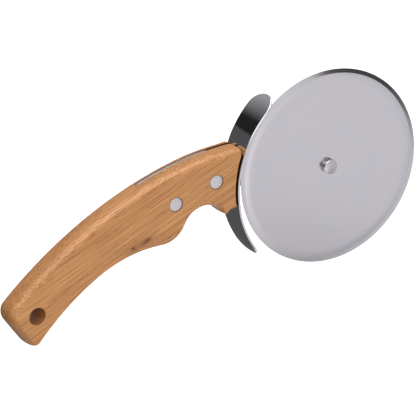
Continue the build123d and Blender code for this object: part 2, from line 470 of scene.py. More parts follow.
# %% Reach of the handle's rounding
rounding_width, rounding_power = 3.6, 2.7
guard_rounding, guard_reach = 0.6, 0.4
draw_in, room_share, roomy = 0.8, 0.8, 1e3
almost_none = 1e-6
width_reach = 3

along = np.roll(outline, -1, 0) - np.roll(outline, 1, 0)
inward = np.stack([-along[:, 1], along[:, 0]], -1) / np.linalg.norm(along, axis=1, keepdims=True)
across = outline[None, :] - outline[:, None]
facing = (across * inward[:, None]).sum(-1)
room = np.where(facing > almost_none, (across**2).sum(-1) / np.maximum(2 * facing, almost_none), roomy).min(1)
from_guard = np.linalg.norm(outline - guard_centre, axis=1) - guard_outer
at_guard = from_guard < guard_reach
limit = np.minimum(room_share * room, np.where(at_guard, guard_rounding, rounding_width))
gap = np.abs(np.arange(len(outline))[:, None] - np.arange(len(outline))[None, :])
gap = np.minimum(gap, len(outline) - gap) * spacing
width = smoothed((limit[None, :] + draw_in * gap).min(1), width_reach)
print("rounding reaches in", width.min().round(2), "to", width.max().round(2), "mm")

# %% [markdown]
# The wall is the profile carried round the outline. At each height it stands in
# by a share of that reach: all of it at the two faces, nothing half way up. The
# swell pushes it out again, so that back and belly are crowned, and on the far
# side of the back less wood was sanded off.

# %% Surface of the handle
swell, swell_ramp = 0.4, 3.0
full_share, full_from, full_ramp = 0.25, -100.0, 20.0
back_facing = -0.5

lift = np.linspace(-pi / 2, pi / 2, 37)[None, :]
wall_height = handle_half * np.sign(np.sin(lift)) * np.abs(np.sin(lift)) ** (2 / rounding_power)
wall_inset = width[:, None] * (1 - np.abs(np.cos(lift)) ** (2 / rounding_power))
fuller = full_share * np.clip((outline[:, :1] - full_from) / full_ramp, 0, 1)
wall_inset *= 1 - fuller * ((lift < 0) & (inward[:, 1:] < back_facing))
wall_inset[:, [0, -1]] = width[:, None]
wall_inset -= swell * np.clip(from_guard / swell_ramp, 0, 1)[:, None]
plan = outline[:, None] + inward[:, None] * wall_inset[..., None]
wall = np.dstack([plan, np.broadcast_to(wall_height, wall_inset.shape)]) * mm + axle
rows, columns = wall_inset.shape
faces = [list(f) for f in grid_faces(rows, columns, True, False)]
faces += [list(range(0, rows * columns, columns))[::-1], list(range(columns - 1, rows * columns, columns))]
grip = make_piece("grip", wall, faces, crease=35.0)
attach(grip, "holder")
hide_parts("handle")

# %% [markdown]
# ## Hole, rivet seats and slot
#
# The hanging hole, the seats of the rivets' heads and the saw slot for the tang
# are cut out of the handle, as the maker does. The drill's mouth is eased.

# %% Drill and rivet seats
hang_hole = next(m for m in frame["record"]["mounts"] if m["name"] == "hang_hole")
hole_centre = np.array(hang_hole["pos_m"])
hole_radius = hang_hole["dims"]["r_mm"]
mouth_ease = 0.35
overrun = 5.0
seat_gap = 0.08
seat_depth, rivet_bore = 1.7, 2.4

ease = np.linspace(0, 1, 6)[:, None]
mouth = np.hstack([hole_radius + mouth_ease * (1 - np.sqrt(1 - ease**2)), handle_half - mouth_ease * (1 - ease)])
upper = np.concatenate([mouth, [(hole_radius + mouth_ease, handle_half + overrun), (0, handle_half + overrun)]])
drill = np.concatenate([upper[::-1] * (1, -1), upper])
cutters = [turned("drill", drill, hole_centre, False, 96)]
rivet_places = {}
for place in ("front", "rear"):
    low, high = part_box(place + "_rivet_tube")
    spot_centre = np.array([(low.x + high.x) / 2, (low.y + high.y) / 2, axle[2]])
    rivet_places[place] = (spot_centre[:2] - axle[:2]) / mm
    seat_radius = node_radius(place + "_rivet_tube") + seat_gap
    floor = handle_half - seat_depth
    half = np.array([
        (rivet_bore, floor), (seat_radius, floor), (seat_radius, handle_half + overrun), (0, handle_half + overrun),
    ])
    cutters.append(turned("seat_" + place, np.concatenate([half[::-1] * (1, -1), half]), spot_centre, False, 72))
print("rivets at", [spot.round(2).tolist() for spot in rivet_places.values()], "mm from the axle")

# %% [markdown]
# The saw slot is open at the handle's front end and along its back, and runs
# below the plate around the rivets.

# %% Slot, and all the cuts
slot_gap, slot_side = 0.4, 0.2
slot_top, slot_rear_low = 30.0, -2.0
beside_rivet, below_rivet = 3.4, 9.0

tang_rear = (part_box("tang")[0].x - axle[0]) / mm
slot_low = -arm_half - slot_gap
slot_plan = [
    (tang_rear - slot_gap, slot_top), (-guard_inner, slot_top), (-guard_inner, slot_low),
    (rivet_places["front"][0], slot_low),
    (rivet_places["rear"][0] - beside_rivet, rivet_places["rear"][1] - below_rivet),
    (tang_rear - slot_gap, slot_rear_low),
]
cutters.append(prism("slot", slot_plan[::-1], tang_low - slot_side, tang_high + slot_side))
carve(grip, cutters)

# %% [markdown]
# ## Handle rivets
#
# Two aluminium rivets close the handle on the tang. Only their flush heads
# show, front and back. Each head is a low dome with a small bevel.

# %% Handle rivets
dome_edge, dome_drop = 0.2, 0.08
rim_in, rim_drop = 0.04, 0.06
stud_head = 1.5
tube_stem, pin_stem = 2.3, 1.5

for place in ("front", "rear"):
    for node, side in ((place + "_rivet_tube", 1), (place + "_rivet_pin", -1)):
        low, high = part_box(node)
        centre = np.array([(low.x + high.x) / 2, (low.y + high.y) / 2, axle[2]])
        head_rim = node_radius(node)
        face_height = ((high.z if side > 0 else low.z) - axle[2]) / mm * side
        radius = np.linspace(0, head_rim - dome_edge, 12)
        top = face_height - dome_drop * (radius / head_rim) ** 2
        stem = tube_stem if side > 0 else pin_stem
        far = ((low.z if side > 0 else high.z) - axle[2]) / mm * side
        profile = np.concatenate([
            np.stack([radius, top], -1),
            [(head_rim - rim_in, top[-1] - rim_drop), (head_rim, top[-1] - dome_edge)],
            [(head_rim, face_height - stud_head), (stem, face_height - stud_head), (stem, far), (0, far)],
        ])
        rivet = turned(node.replace("_rivet_", "_stud_"), profile * (1, side), centre, False, 64)
        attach(rivet, "holder")
        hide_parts(node)

# %% [markdown]
# ## Tang
#
# The tang is a stamped plate: an arm under the wheel, and an inlay that closes
# the saw slot. Its back edge shows as a bright line, because it was sanded
# flush with the wood. The crowned wood stands a little prouder than the packed
# solid, so the plate's outline is taken from the solid and its back edge is
# moved out to meet it.

# %% Tang
edge_ease = 0.12
plate_spacing = 0.4
edge_sharpness, edge_onset = 4.0, 2.4
bore_overrun = 1.0
flush_until, flush_fade, flush_gap = -68.0, 3.0, 0.35

plate_line = outline_at("tang", (tang_low + tang_high) / 2)
plate_line = smooth_loop(plate_line[np.abs(turning(plate_line)) > least_turn], plate_spacing)
if turning(plate_line).sum() < 0:
    plate_line = plate_line[::-1]
tangent = np.roll(plate_line, -1, 0) - np.roll(plate_line, 1, 0)
normal = np.stack([tangent[:, 1], -tangent[:, 0]], -1) / np.linalg.norm(tangent, axis=1, keepdims=True)
upward = np.clip(normal[:, 1] * edge_sharpness - edge_onset, 0, 1)
upward *= np.clip((flush_until - plate_line[:, 0]) / flush_fade, 0, 1)
back_line = (outline - inward * swell)[inward[:, 1] < back_facing]
back_line = back_line[np.argsort(back_line[:, 0])]
to_wood = np.interp(plate_line[:, 0], back_line[:, 0], back_line[:, 1]) - flush_gap - plate_line[:, 1]
plate_line[:, 1] += upward * to_wood
level = np.array([tang_low, tang_low + edge_ease, tang_high - edge_ease, tang_high])
inset = np.array([edge_ease, 0, 0, edge_ease])
plate_plan = plate_line[:, None] - normal[:, None] * inset[None, :, None]
plate_wall = np.dstack([plate_plan, np.broadcast_to(level, plate_plan.shape[:2])]) * mm + axle
count = len(plate_line)
faces = [list(f) for f in grid_faces(count, 4, True, False)]
faces += [list(range(0, count * 4, 4))[::-1], list(range(3, count * 4, 4))]
tang = make_piece("tang_plate", plate_wall, faces, crease=25.0)
below, above = tang_low - bore_overrun, tang_high + bore_overrun
bore = [(0, below), (shoulder_radius, below), (shoulder_radius, above), (0, above)]
carve(tang, [turned("bore", bore, axle, False, 48)], crease=25.0)
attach(tang, "holder")
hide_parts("tang")

# %% [markdown]
# ## Materials
#
# A material here is a small recipe of nodes. One function adds a node with its
# settings and its inputs, so that each recipe reads from top to bottom. Every
# pattern is laid on Object coordinates, which are metres in the model's frame:
# a Mapping node divides them by the size of one grain, so that a noise of
# scale 1 has grains of just that size. A noise's values lie mostly between 0.3
# and 0.7, so most patterns are stretched from there. Colours are written as
# sRGB hex, as a colour picker shows them, and turned linear for the shader.


# %% Node helper
def linear(colour):
    """sRGB hex colour as linear RGBA: ((c + 0.055) / 1.055) ** 2.4 above the short straight part."""
    c = np.array([int(colour[i : i + 2], 16) for i in (0, 2, 4)]) / 255
    flat = np.where(c <= 0.04045, c / 12.92, ((c + 0.055) / 1.055) ** 2.4)
    return (*flat.tolist(), 1.0)


def add(tree, kind, inputs=None, **settings):
    """Add a node: settings are its own properties, inputs are values or sockets to link."""
    made = tree.nodes.new(kind)
    for name, value in settings.items():
        setattr(made, name, value)
    for name, value in (inputs or {}).items():
        if isinstance(value, bpy.types.NodeSocket):
            tree.links.new(value, made.inputs[name])
        else:
            made.inputs[name].default_value = value
    return made


def new_material(name, finish):
    """Material with a Principled shader whose sockets take the finish's values, and its place coordinates."""
    material = bpy.data.materials.new(name)
    material.use_nodes = True
    tree = material.node_tree
    tree.nodes.clear()
    shader = add(tree, "ShaderNodeBsdfPrincipled", finish)
    add(tree, "ShaderNodeOutputMaterial", {"Surface": shader.outputs["BSDF"]})
    return material, tree, shader, add(tree, "ShaderNodeTexCoord").outputs["Object"]


noise_low, noise_high = 0.3, 0.7


def dress(piece, *materials):
    """Give a piece its materials, the first of them on all of it."""
    piece.data.materials.clear()
    for material in materials:
        piece.data.materials.append(material)
    print(piece.name, "is", ", ".join(material.name for material in materials))


# %% [markdown]
# ## Polished disc steel
#
# The disc is cold-rolled stainless, polished on a felt wheel: nearly a mirror,
# but with a soft haze, and with faint warm and cool clouds where the felt ran
# hotter or cooler. On the real disc the haze is a web of round scratches a few
# hundredths of a millimetre apart. They are drawn 0.4 mm apart, which is as
# fine as the picture can hold.

# %% Polished disc steel
cloud_size = 16 * mm
scratch_pitch = 0.4 * mm

disc_steel, tree, shader, place = new_material("felt_polished_stainless", {"Metallic": 1.0, "Roughness": 0.24})
from_axle = add(tree, "ShaderNodeVectorMath", {0: place, 1: axle.tolist()}, operation="SUBTRACT").outputs["Vector"]
clouds = add(tree, "ShaderNodeTexNoise", {"Vector": from_axle, "Scale": 1 / cloud_size, "Detail": 3.0}).outputs["Fac"]
cloudy = add(tree, "ShaderNodeMapRange", {"Value": clouds, "From Min": 0.35, "From Max": 0.65}).outputs["Result"]
tint = {0: cloudy, 6: linear("d2cfd2"), 7: linear("cfcfd4")}
tree.links.new(add(tree, "ShaderNodeMix", tint, data_type="RGBA").outputs[2], shader.inputs["Base Color"])
distance = add(tree, "ShaderNodeVectorMath", {0: from_axle}, operation="LENGTH").outputs["Value"]
rings = {"W": distance, "Scale": 1 / scratch_pitch, "Detail": 2.0}
rings = add(tree, "ShaderNodeTexNoise", rings, noise_dimensions="1D").outputs["Fac"]
haze = {"Value": rings, "From Min": noise_low, "From Max": noise_high, "To Min": 0.21, "To Max": 0.27}
tree.links.new(add(tree, "ShaderNodeMapRange", haze).outputs["Result"], shader.inputs["Roughness"])

# %% [markdown]
# ## Ground edge steel
#
# The bevel is ground after the disc is polished, on a wet stone, and is left
# brighter and sharper than the face. Its scratches run from the rim inwards.
# An angle about the axle, times the radius, is a length along the rim, so a
# noise on that length gives scratches of an even width.

# %% Ground edge steel
grind_pitch = 0.5 * mm

edge_steel, tree, shader, place = new_material("ground_stainless_edge", {"Metallic": 1.0, "Roughness": 0.12})
from_axle = add(tree, "ShaderNodeVectorMath", {0: place, 1: axle.tolist()}, operation="SUBTRACT").outputs["Vector"]
parts = add(tree, "ShaderNodeSeparateXYZ", {"Vector": from_axle})
angle = add(tree, "ShaderNodeMath", {0: parts.outputs["Y"], 1: parts.outputs["X"]}, operation="ARCTAN2").outputs[0]
marks = {"W": angle, "Scale": wheel_radius * mm / grind_pitch, "Detail": 2.0}
marks = add(tree, "ShaderNodeTexNoise", marks, noise_dimensions="1D").outputs["Fac"]
tint = {0: marks, 6: linear("d2d0d4"), 7: linear("dedde2")}
tree.links.new(add(tree, "ShaderNodeMix", tint, data_type="RGBA").outputs[2], shader.inputs["Base Color"])
grind = {"Value": marks, "From Min": noise_low, "From Max": noise_high, "To Min": 0.1, "To Max": 0.15}
tree.links.new(add(tree, "ShaderNodeMapRange", grind).outputs["Result"], shader.inputs["Roughness"])

dress(wheel, disc_steel, edge_steel)
centres = np.empty(len(wheel.data.polygons) * 3)
wheel.data.polygons.foreach_get("center", centres)
from_centre = np.linalg.norm((centres.reshape(-1, 3) - axle)[:, :2], axis=1) / mm
ground = from_centre > flat_end
wheel.data.polygons.foreach_set("material_index", ground.astype(np.int32))
print("ground faces", int(ground.sum()))

# %% [markdown]
# ## Buffed strip steel
#
# The guard is stainless, buffed bright after it is bent, so it mirrors the
# studio crisply: dark where the room is dark, white where a card stands.
# Buffing leaves long shallow waves, some millimetres apart, which make the
# reflections swim a little.

# %% Buffed strip steel
wave_length = 7 * mm

buffed_steel, tree, shader, place = new_material("buffed_stainless", {"Metallic": 1.0, "Roughness": 0.07})
waves = add(tree, "ShaderNodeTexNoise", {"Vector": place, "Scale": 1 / wave_length, "Detail": 1.0}).outputs["Fac"]
tint = {0: waves, 6: linear("d4d3d6"), 7: linear("dcdce0")}
tree.links.new(add(tree, "ShaderNodeMix", tint, data_type="RGBA").outputs[2], shader.inputs["Base Color"])
gloss = {"Value": waves, "From Min": noise_low, "From Max": noise_high, "To Min": 0.05, "To Max": 0.09}
tree.links.new(add(tree, "ShaderNodeMapRange", gloss).outputs["Result"], shader.inputs["Roughness"])
wavy = add(tree, "ShaderNodeBump", {"Height": waves, "Strength": 0.35, "Distance": 0.02 * mm}).outputs["Normal"]
tree.links.new(wavy, shader.inputs["Normal"])

dress(guard, buffed_steel)

# %% [markdown]
# ## Turned rivet steel
#
# The axle rivet's side is buffed, but its face is left as turned, and greyer.
# The lathe leaves rings on its face a tenth of a millimetre apart. They are
# drawn 0.3 mm apart, so that they can be seen. A ring is a distance in the plan
# from the axle, and the same helper serves for the wood around the rivets.

# %% Turned rivet steel
lathe_pitch = 0.3 * mm
face_depth = 0.02


def plan_distance(tree, place, centre):
    """Distance in the plan from an upright line through centre: the length of (x, y) less the centre's."""
    shift = {0: place, 1: (centre[0], centre[1], 0)}
    shift = add(tree, "ShaderNodeVectorMath", shift, operation="SUBTRACT").outputs["Vector"]
    flat = add(tree, "ShaderNodeVectorMath", {0: shift, 1: (1, 1, 0)}, operation="MULTIPLY").outputs["Vector"]
    return add(tree, "ShaderNodeVectorMath", {0: flat}, operation="LENGTH").outputs["Value"]


rivet_steel, tree, shader, place = new_material("turned_rivet_steel", {"Metallic": 1.0, "Roughness": 0.2})
rings = {"W": plan_distance(tree, place, axle), "Scale": 1 / lathe_pitch, "Detail": 1.0}
rings = add(tree, "ShaderNodeTexNoise", rings, noise_dimensions="1D").outputs["Fac"]
tint = {0: rings, 6: linear("b5b0b3"), 7: linear("ccc7ca")}
tree.links.new(add(tree, "ShaderNodeMix", tint, data_type="RGBA").outputs[2], shader.inputs["Base Color"])
turned_haze = {"Value": rings, "From Min": noise_low, "From Max": noise_high, "To Min": 0.16, "To Max": 0.24}
tree.links.new(add(tree, "ShaderNodeMapRange", turned_haze).outputs["Result"], shader.inputs["Roughness"])
dress(front_washer, buffed_steel)
dress(axle_rivet, buffed_steel, rivet_steel)
heights = np.array([polygon.center.z for polygon in axle_rivet.data.polygons])
on_face = heights > axle[2] + (head_top - face_depth) * mm
axle_rivet.data.polygons.foreach_set("material_index", on_face.astype(np.int32))

# %% [markdown]
# ## Rolled plate
#
# The tang is stamped from rolled plate and not polished, because the handle
# hides nearly all of it. The mill leaves it a cool matt grey, with a fine grain
# along the rolling direction, which runs the length of the tang.

# %% Rolled plate
grain_length, grain_width = 12 * mm, 0.35 * mm

mill_plate, tree, shader, place = new_material("rolled_stainless_plate", {"Metallic": 1.0, "Roughness": 0.38})
scale = (1 / grain_length, 1 / grain_width, 1 / grain_width)
rolled = add(tree, "ShaderNodeMapping", {"Vector": place, "Scale": scale}).outputs["Vector"]
rolling = add(tree, "ShaderNodeTexNoise", {"Vector": rolled, "Scale": 1.0, "Detail": 3.0}).outputs["Fac"]
tint = {0: rolling, 6: linear("a4a6b0"), 7: linear("c4c6d0")}
tree.links.new(add(tree, "ShaderNodeMix", tint, data_type="RGBA").outputs[2], shader.inputs["Base Color"])
matt = {"Value": rolling, "From Min": noise_low, "From Max": noise_high, "To Min": 0.32, "To Max": 0.46}
tree.links.new(add(tree, "ShaderNodeMapRange", matt).outputs["Result"], shader.inputs["Roughness"])
dress(tang, mill_plate)
dress(back_washer, mill_plate)

# %% [markdown]
# ## Satin aluminium
#
# The handle rivets are aluminium, pressed home and then sanded flush with the
# wood. Sanding leaves a satin face with fine specks, a third of a millimetre
# across, where the grit has torn the soft metal.

# %% Satin aluminium
speck_size = 0.45 * mm

satin_metal, tree, shader, place = new_material("sanded_aluminium", {"Metallic": 1.0, "Roughness": 0.42})
specks = add(tree, "ShaderNodeTexNoise", {"Vector": place, "Scale": 1 / speck_size, "Detail": 1.0}).outputs["Fac"]
specked = {"Value": specks, "From Min": noise_low, "From Max": noise_high}
specked = add(tree, "ShaderNodeMapRange", specked).outputs["Result"]
tint = {0: specked, 6: linear("ccc8cc"), 7: linear("f4f2f6")}
tree.links.new(add(tree, "ShaderNodeMix", tint, data_type="RGBA").outputs[2], shader.inputs["Base Color"])
torn = add(tree, "ShaderNodeBump", {"Height": specks, "Strength": 0.4, "Distance": 0.03 * mm}).outputs["Normal"]
tree.links.new(torn, shader.inputs["Normal"])
for name in ("front_stud_tube", "front_stud_pin", "rear_stud_tube", "rear_stud_pin"):
    dress(bpy.data.objects[name], satin_metal)

# %% [markdown]
# ## Bamboo
#
# The handle is cut from a laminated bamboo board. Its fibres run dead straight
# along the board, and the board lies at an angle to the handle, so the fibres
# leave the handle's edge all along it. Four sizes of grain are laid over each
# other, all stretched along the fibres: laminated strips, streaks of denser
# fibre, single fibres, and the short dark dashes of the sap vessels. A real
# fibre is about 0.2 mm wide. It is drawn 0.34 mm wide, so that it shows.

# %% Grain of the bamboo
fibre_angle = 30.5
board_centre = Vector((-100 * mm, -30 * mm, 0)) + Vector(axle)
strip_width, strip_length = 8.5 * mm, 170 * mm
streak_width, streak_length = 2.1 * mm, 75 * mm
fibre_width, fibre_length = 0.34 * mm, 30 * mm
vessel_width, vessel_length = 0.4 * mm, 3.2 * mm

bamboo, tree, shader, place = new_material("oiled_bamboo", {"Roughness": 0.42, "IOR": 1.5})
centred = add(tree, "ShaderNodeVectorMath", {0: place, 1: board_centre}, operation="SUBTRACT").outputs["Vector"]
turn_back = {"Vector": centred, "Rotation": (0, 0, -radians(fibre_angle))}
along_fibre = add(tree, "ShaderNodeMapping", turn_back).outputs["Vector"]
grains = []
for length, width, detail in (
    (strip_length, strip_width, 1.0), (streak_length, streak_width, 2.0),
    (fibre_length, fibre_width, 2.0), (vessel_length, vessel_width, 0.0),
):
    scale = (1 / length, 1 / width, 1 / width)
    stretched = add(tree, "ShaderNodeMapping", {"Vector": along_fibre, "Scale": scale}).outputs["Vector"]
    noise = add(tree, "ShaderNodeTexNoise", {"Vector": stretched, "Scale": 1.0, "Detail": detail}).outputs["Fac"]
    grains.append(noise)
strips, streaks, fibres, vessels = grains

# %% [markdown]
# Each grain moves the colour some way towards its own: the strips to honey, the
# streaks to brown, and the fibres to both a lighter and a darker tone. Its
# share grows from nothing to its full strength between two values of the noise.

# %% Colours of the bamboo
colour = linear("c4824a")
for grain, low, high, hexcode, share in (
    (strips, 0.38, 0.62, "d1955a", 0.75), (streaks, 0.35, 0.68, "a76630", 0.5),
    (fibres, 0.35, 0.7, "e5ae70", 0.65), (fibres, 0.6, 0.3, "8f5426", 0.55),
):
    limits = {"Value": grain, "From Min": low, "From Max": high, "To Max": share}
    here = add(tree, "ShaderNodeMapRange", limits).outputs["Result"]
    colour = add(tree, "ShaderNodeMix", {0: here, 6: colour, 7: linear(hexcode)}, data_type="RGBA").outputs[2]

# %% [markdown]
# The vessels show only where the fibre is dense, so their dashes are kept to
# the darker streaks. Near the belly the culm had a joint, where the fibres
# are crossed by two brown smudges.

# %% Vessels
dashes = {"Value": vessels, "From Min": 0.62, "From Max": 0.72, "To Max": 0.6}
dashes = add(tree, "ShaderNodeMapRange", dashes).outputs["Result"]
dense = add(tree, "ShaderNodeMapRange", {"Value": streaks, "From Min": 0.5, "From Max": 0.62}).outputs["Result"]
dashes = add(tree, "ShaderNodeMath", {0: dashes, 1: dense}, operation="MULTIPLY").outputs[0]
colour = add(tree, "ShaderNodeMix", {0: dashes, 6: colour, 7: linear("6d3e22")}, data_type="RGBA").outputs[2]

# %% [markdown]
# A smudge's place is turned into the board's own directions, so that it lies
# along the fibres. The distance from its middle, in half lengths and half
# widths, plus a share of the fibres' noise, gives it its frayed edge.

# %% The culm's joint
smudge_depth, fray = 9 * mm, 0.9
smudge_gone, smudge_whole = 1.55, 0.55
smudges = (
    # place from the axle, half length and half width in mm, strength
    ((-113.0, -30.3), (1.8, 1.2), 0.95),
    ((-105.4, -26.9), (3.2, 1.5), 0.85),
    ((-107.4, -28.5), (1.6, 0.7), 0.6),
    ((-109.0, -28.6), (13.0, 2.6), 0.4),
    ((-110.5, -31.5), (20.0, 2.2), 0.22),
)
for (x, y), (half_length, half_width), share in smudges:
    spot_place = Vector((x * mm, y * mm, handle_half * mm)) + Vector(axle) - board_centre
    spot_place.rotate(Matrix.Rotation(-radians(fibre_angle), 3, "Z"))
    shift = add(tree, "ShaderNodeVectorMath", {0: along_fibre, 1: spot_place}, operation="SUBTRACT").outputs["Vector"]
    scale = (1 / (half_length * mm), 1 / (half_width * mm), 1 / smudge_depth)
    oval = add(tree, "ShaderNodeMapping", {"Vector": shift, "Scale": scale}).outputs["Vector"]
    far = add(tree, "ShaderNodeVectorMath", {0: oval}, operation="LENGTH").outputs["Value"]
    rough = add(tree, "ShaderNodeMath", {0: fibres, 1: fray, 2: far}, operation="MULTIPLY_ADD").outputs[0]
    limits = {"Value": rough, "From Min": smudge_gone, "From Max": smudge_whole, "To Max": share}
    here = add(tree, "ShaderNodeMapRange", limits, interpolation_type="SMOOTHSTEP").outputs["Result"]
    colour = add(tree, "ShaderNodeMix", {0: here, 6: colour, 7: linear("66361c")}, data_type="RGBA").outputs[2]

# %% [markdown]
# The wall of the hanging hole is made darker, and so is a ring in the wood round
# each rivet seat. Both are circles about an upright axis, so each is a distance in
# the plan.

# %% Darker hole wall and rings round the seats
hole_dark_width, hole_dark_full = 0.25, 0.05
seat_ring_width, seat_ring_full = 0.75, 0.1

seat_rim = node_radius("front_rivet_tube")
darker_rings = [(hole_centre, hole_radius + hole_dark_width, hole_radius + hole_dark_full, "8a5d3c", 0.45)]
for spot in rivet_places.values():
    darker_rings.append((spot * mm + axle[:2], seat_rim + seat_ring_width, seat_rim + seat_ring_full, "7d5c42", 0.7))
# The hole's wall and a ring round each seat are blended towards a darker brown.
for centre, outer, inner, hexcode, share in darker_rings:
    far = plan_distance(tree, place, centre)
    limits = {"Value": far, "From Min": outer * mm, "From Max": inner * mm, "To Max": share}
    here = add(tree, "ShaderNodeMapRange", limits).outputs["Result"]
    colour = add(tree, "ShaderNodeMix", {0: here, 6: colour, 7: linear(hexcode)}, data_type="RGBA").outputs[2]

# %% [markdown]
# Painted shade: the dished front end behind the guard and the walls of the saw slot
# are darkened, for the shade in the narrow gap and inside the slot. The front end is
# a distance from the guard's centre. The slot is a layer in height, from its rear end on.

# %% Painted shade on the front end and in the slot
end_shade_clear, end_shade_full = 0.35, 0.08
slot_shade_skin = 0.03
slot_least_y = 3 * mm

# Painted shade: the front end next to the guard goes nearly black, for the shade in the gap behind the guard.
far = plan_distance(tree, place, guard_centre * mm + axle[:2])
end_outer = guard_outer + seam
limits = {"Value": far, "From Min": (end_outer + end_shade_clear) * mm, "From Max": (end_outer + end_shade_full) * mm}
here = add(tree, "ShaderNodeMapRange", limits).outputs["Result"]
colour = add(tree, "ShaderNodeMix", {0: here, 6: colour, 7: linear("1c120c")}, data_type="RGBA").outputs[2]

# Painted shade: the walls of the saw slot go dark brown, for the shade inside the slot.
parts = add(tree, "ShaderNodeSeparateXYZ", {"Vector": place}).outputs
slot_middle = axle[2] + (tang_low + tang_high) / 2 * mm
slot_half = ((tang_high - tang_low) / 2 + slot_side + slot_shade_skin) * mm
here = add(tree, "ShaderNodeMath", {0: parts["Z"], 1: slot_middle, 2: slot_half}, operation="COMPARE").outputs[0]
for axis, least in (("X", axle[0] + (tang_rear - slot_gap) * mm), ("Y", axle[1] - slot_least_y)):
    beyond = add(tree, "ShaderNodeMath", {0: parts[axis], 1: least}, operation="GREATER_THAN").outputs[0]
    here = add(tree, "ShaderNodeMath", {0: here, 1: beyond}, operation="MULTIPLY").outputs[0]
colour = add(tree, "ShaderNodeMix", {0: here, 6: colour, 7: linear("3a2415")}, data_type="RGBA").outputs[2]
tree.links.new(colour, shader.inputs["Base Color"])

# %% [markdown]
# Oil closes the wood, but sanding leaves the denser fibres standing a
# hundredth of a millimetre proud, and they are the glossier ones.

# %% Gloss of the bamboo
gloss = {"Value": fibres, "From Min": noise_low, "From Max": noise_high, "To Min": 0.47, "To Max": 0.37}
tree.links.new(add(tree, "ShaderNodeMapRange", gloss).outputs["Result"], shader.inputs["Roughness"])
proud = add(tree, "ShaderNodeBump", {"Height": fibres, "Strength": 0.06, "Distance": 0.03 * mm}).outputs["Normal"]
tree.links.new(proud, shader.inputs["Normal"])
dress(grip, bamboo)

# %% [markdown]
# ## Studio
#
# A large pale floor lies under the cutter. Around it is a tent of white cloth
# with cards in it, as a product studio has: bright ones light the steel, black
# ones draw its dark lines. Each card is a disc of directions with a soft rim.
# The steel sees the tent, and the camera sees plain white.

# %% Floor
floor_drop = 0.3
floor_half = 12.0
pulp_size = 2 * mm

corners = np.array([(-1, -1), (1, -1), (1, 1), (-1, 1)]) * floor_half
floor_mesh = bpy.data.meshes.new("floor")
floor_mesh.from_pydata([(x, y, -floor_drop) for x, y in corners], [], [(0, 1, 2, 3)])
floor = bpy.data.objects.new("floor", floor_mesh)
bpy.context.scene.collection.objects.link(floor)
paper, tree, shader, place = new_material("pale_paper", {"Roughness": 0.9, "Emission Strength": 0.5})
pulp = add(tree, "ShaderNodeTexNoise", {"Vector": place, "Scale": 1 / pulp_size}).outputs["Fac"]
tint = {0: pulp, 6: linear("f6f6f6"), 7: linear("fafafa")}
tree.links.new(add(tree, "ShaderNodeMix", tint, data_type="RGBA").outputs[2], shader.inputs["Base Color"])
shader.inputs["Emission Color"].default_value = linear("ffffff")
dress(floor, paper)
floor.visible_glossy = False
floor.visible_diffuse = False

# %% [markdown]
# The wood needs an even light, brighter above than below. The steel needs
# something to mirror. So the sky has three faces, chosen by the kind of ray:
# plain white for the camera, a plain tent for rays from matt surfaces, and a
# tent with cards and panels for rays from glossy ones. A card is laid over the
# light that is already there: a disc of directions, found by the cosine of the
# angle to its middle.

# %% Tent
horizon_half = 0.3

world = bpy.data.worlds.new("studio")
bpy.context.scene.world = world
world.use_nodes = True
world.cycles.sampling_method = "NONE"
tree = world.node_tree
tree.nodes.clear()
direction = add(tree, "ShaderNodeTexCoord").outputs["Generated"]
across = add(tree, "ShaderNodeSeparateXYZ", {"Vector": direction})
soft_horizon = {"Value": across.outputs["Z"], "From Min": -horizon_half, "From Max": horizon_half}
soft_horizon = add(tree, "ShaderNodeMapRange", soft_horizon, interpolation_type="SMOOTHSTEP").outputs["Result"]
tent = {0: soft_horizon, 6: (0.34, 0.335, 0.33, 1), 7: (0.85, 0.85, 0.86, 1)}
matt_light = add(tree, "ShaderNodeMix", tent, data_type="RGBA").outputs[2]


def with_card(light, towards, inner, outer, colour):
    """Light with a card over it, whole within inner degrees of its middle and gone beyond outer."""
    unit = Vector(towards).normalized()
    dot = add(tree, "ShaderNodeVectorMath", {0: direction, 1: unit}, operation="DOT_PRODUCT").outputs["Value"]
    limits = {"Value": dot, "From Min": cos(radians(outer)), "From Max": cos(radians(inner))}
    inside = add(tree, "ShaderNodeMapRange", limits, interpolation_type="SMOOTHSTEP").outputs["Result"]
    return add(tree, "ShaderNodeMix", {0: inside, 6: light, 7: colour}, data_type="RGBA").outputs[2]


matt_light = with_card(matt_light, (-0.2, 0.86, 0.47), 5, 52, (1.7, 1.7, 1.7, 1))
matt_light = with_card(matt_light, (-0.75, -0.65, 0.05), 10, 65, (0.1, 0.1, 0.1, 1))
print("tent with 2 soft cards for matt surfaces")

# %% [markdown]
# Below the horizon the polished guard mirrors a ring of upright panels. They
# are plain greys, given by their compass angle, from X towards Y, and the
# level runs evenly from one to the next.

# %% Panels round the lower half


def grey(level):
    """A plain grey panel."""
    return (level, level, level, 1)


ring_foot, ring_top = -0.60, -0.40
panels = (
    # degrees, grey level
    (-80, 0.1), (20, 0.2), (50, 0.45), (120, 0.45), (146, 0.02), (160, 0.02), (161, 0.1),
)
sideways = {0: across.outputs["Y"], 1: across.outputs["X"]}
compass = add(tree, "ShaderNodeMath", sideways, operation="ARCTAN2").outputs[0]
compass = add(tree, "ShaderNodeMath", {0: compass, 1: 1 / tau, 2: 0.5}, operation="MULTIPLY_ADD").outputs[0]
ring = add(tree, "ShaderNodeValToRGB", {"Fac": compass})
ring.color_ramp.elements[0].color = ring.color_ramp.elements[1].color = grey(panels[-1][1])
for degrees, level in panels:
    ring.color_ramp.elements.new(degrees / 360 + 0.5).color = grey(level)
horizon = {"Value": across.outputs["Z"], "From Min": ring_foot, "From Max": ring_top}
horizon = add(tree, "ShaderNodeMapRange", horizon, interpolation_type="SMOOTHSTEP").outputs["Result"]
tent = {0: horizon, 6: ring.outputs["Color"], 7: (0.85, 0.83, 0.86, 1)}
